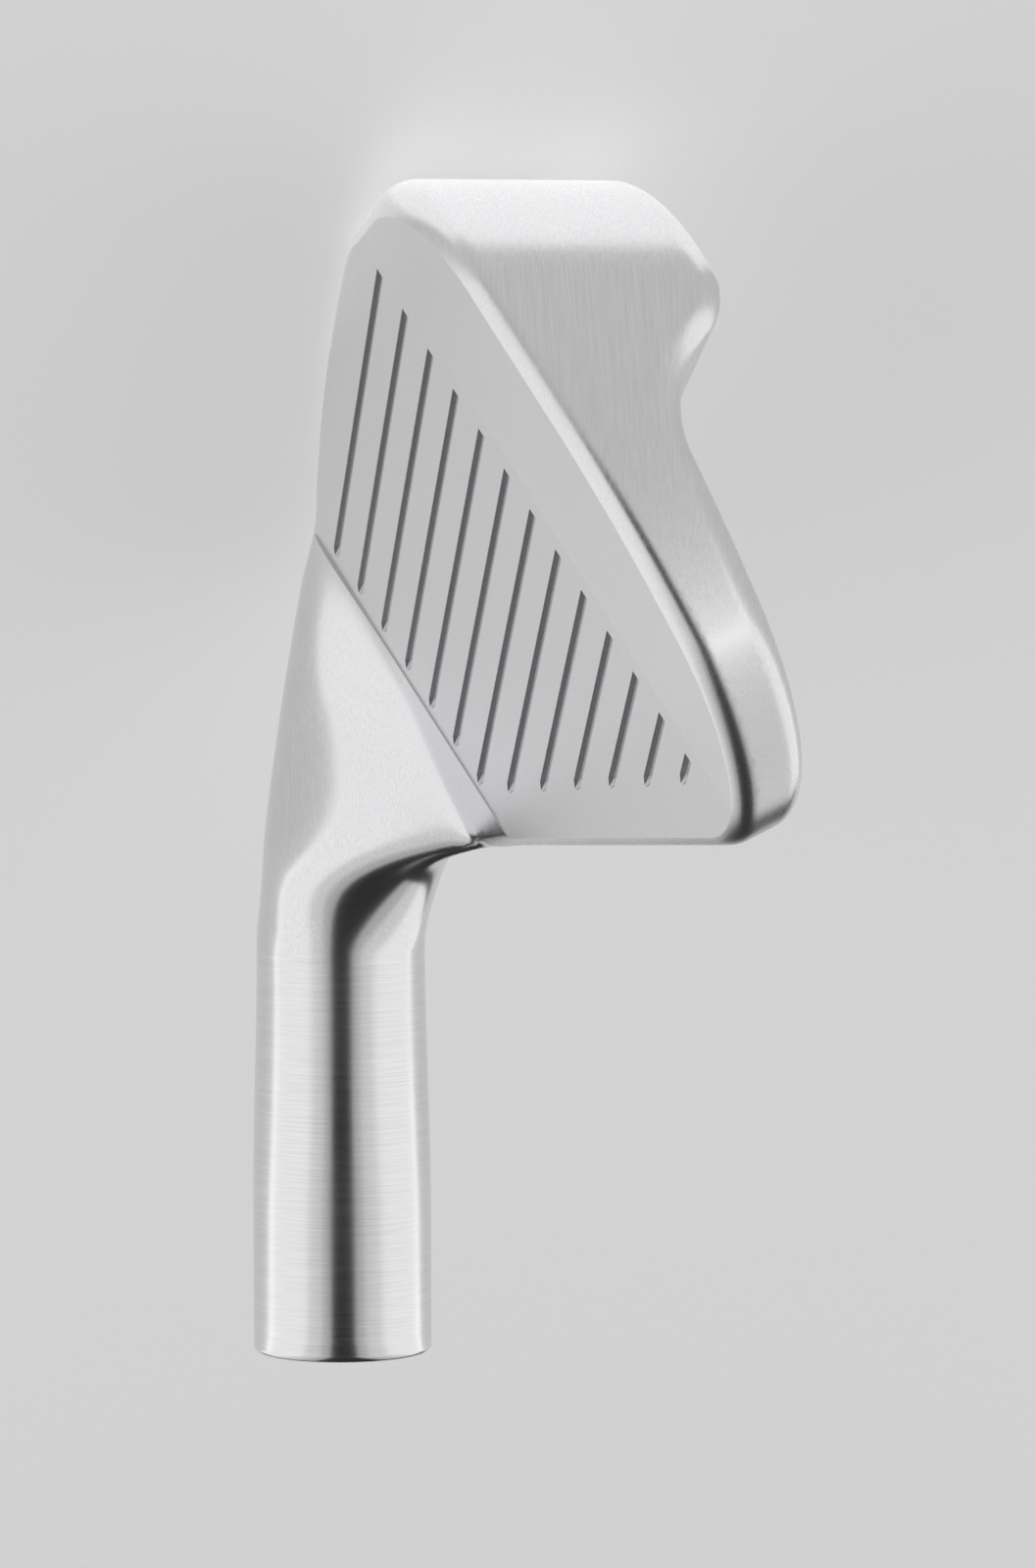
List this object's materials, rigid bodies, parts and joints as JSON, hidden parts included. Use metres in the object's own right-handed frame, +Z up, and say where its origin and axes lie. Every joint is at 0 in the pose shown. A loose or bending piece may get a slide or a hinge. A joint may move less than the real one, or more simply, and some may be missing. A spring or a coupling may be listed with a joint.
{
  "type": "iron golf club head",
  "caption": "Right-handed muscle-back iron head in raw satin steel: lofted face with straight grooves, curved neck and open hosel that takes a parallel-tip shaft.",
  "frame": {"origin": "mouth of the shaft bore, on the hosel axis, 1 mm inside the hosel's end face", "axes": "club at address: +Z up, +X from toe to heel, -Y towards the target, so the face looks along -Y and up"},
  "size_m": [0.1074, 0.033, 0.0572],
  "materials": {
    "forged_steel": "satin brushed bare steel, blasted between the grooves",
    "hosel_steel": "satin brushed bare steel",
    "weight_metal": "dull sintered tungsten alloy",
    "plug_plastic": "black nylon"
  },
  "bodies": {
    "root": {"blade_forging": "forged_steel", "hosel_tube": "hosel_steel", "swing_weight_pin": "weight_metal", "weight_retaining_plug": "plug_plastic"}
  },
  "joints": []
}
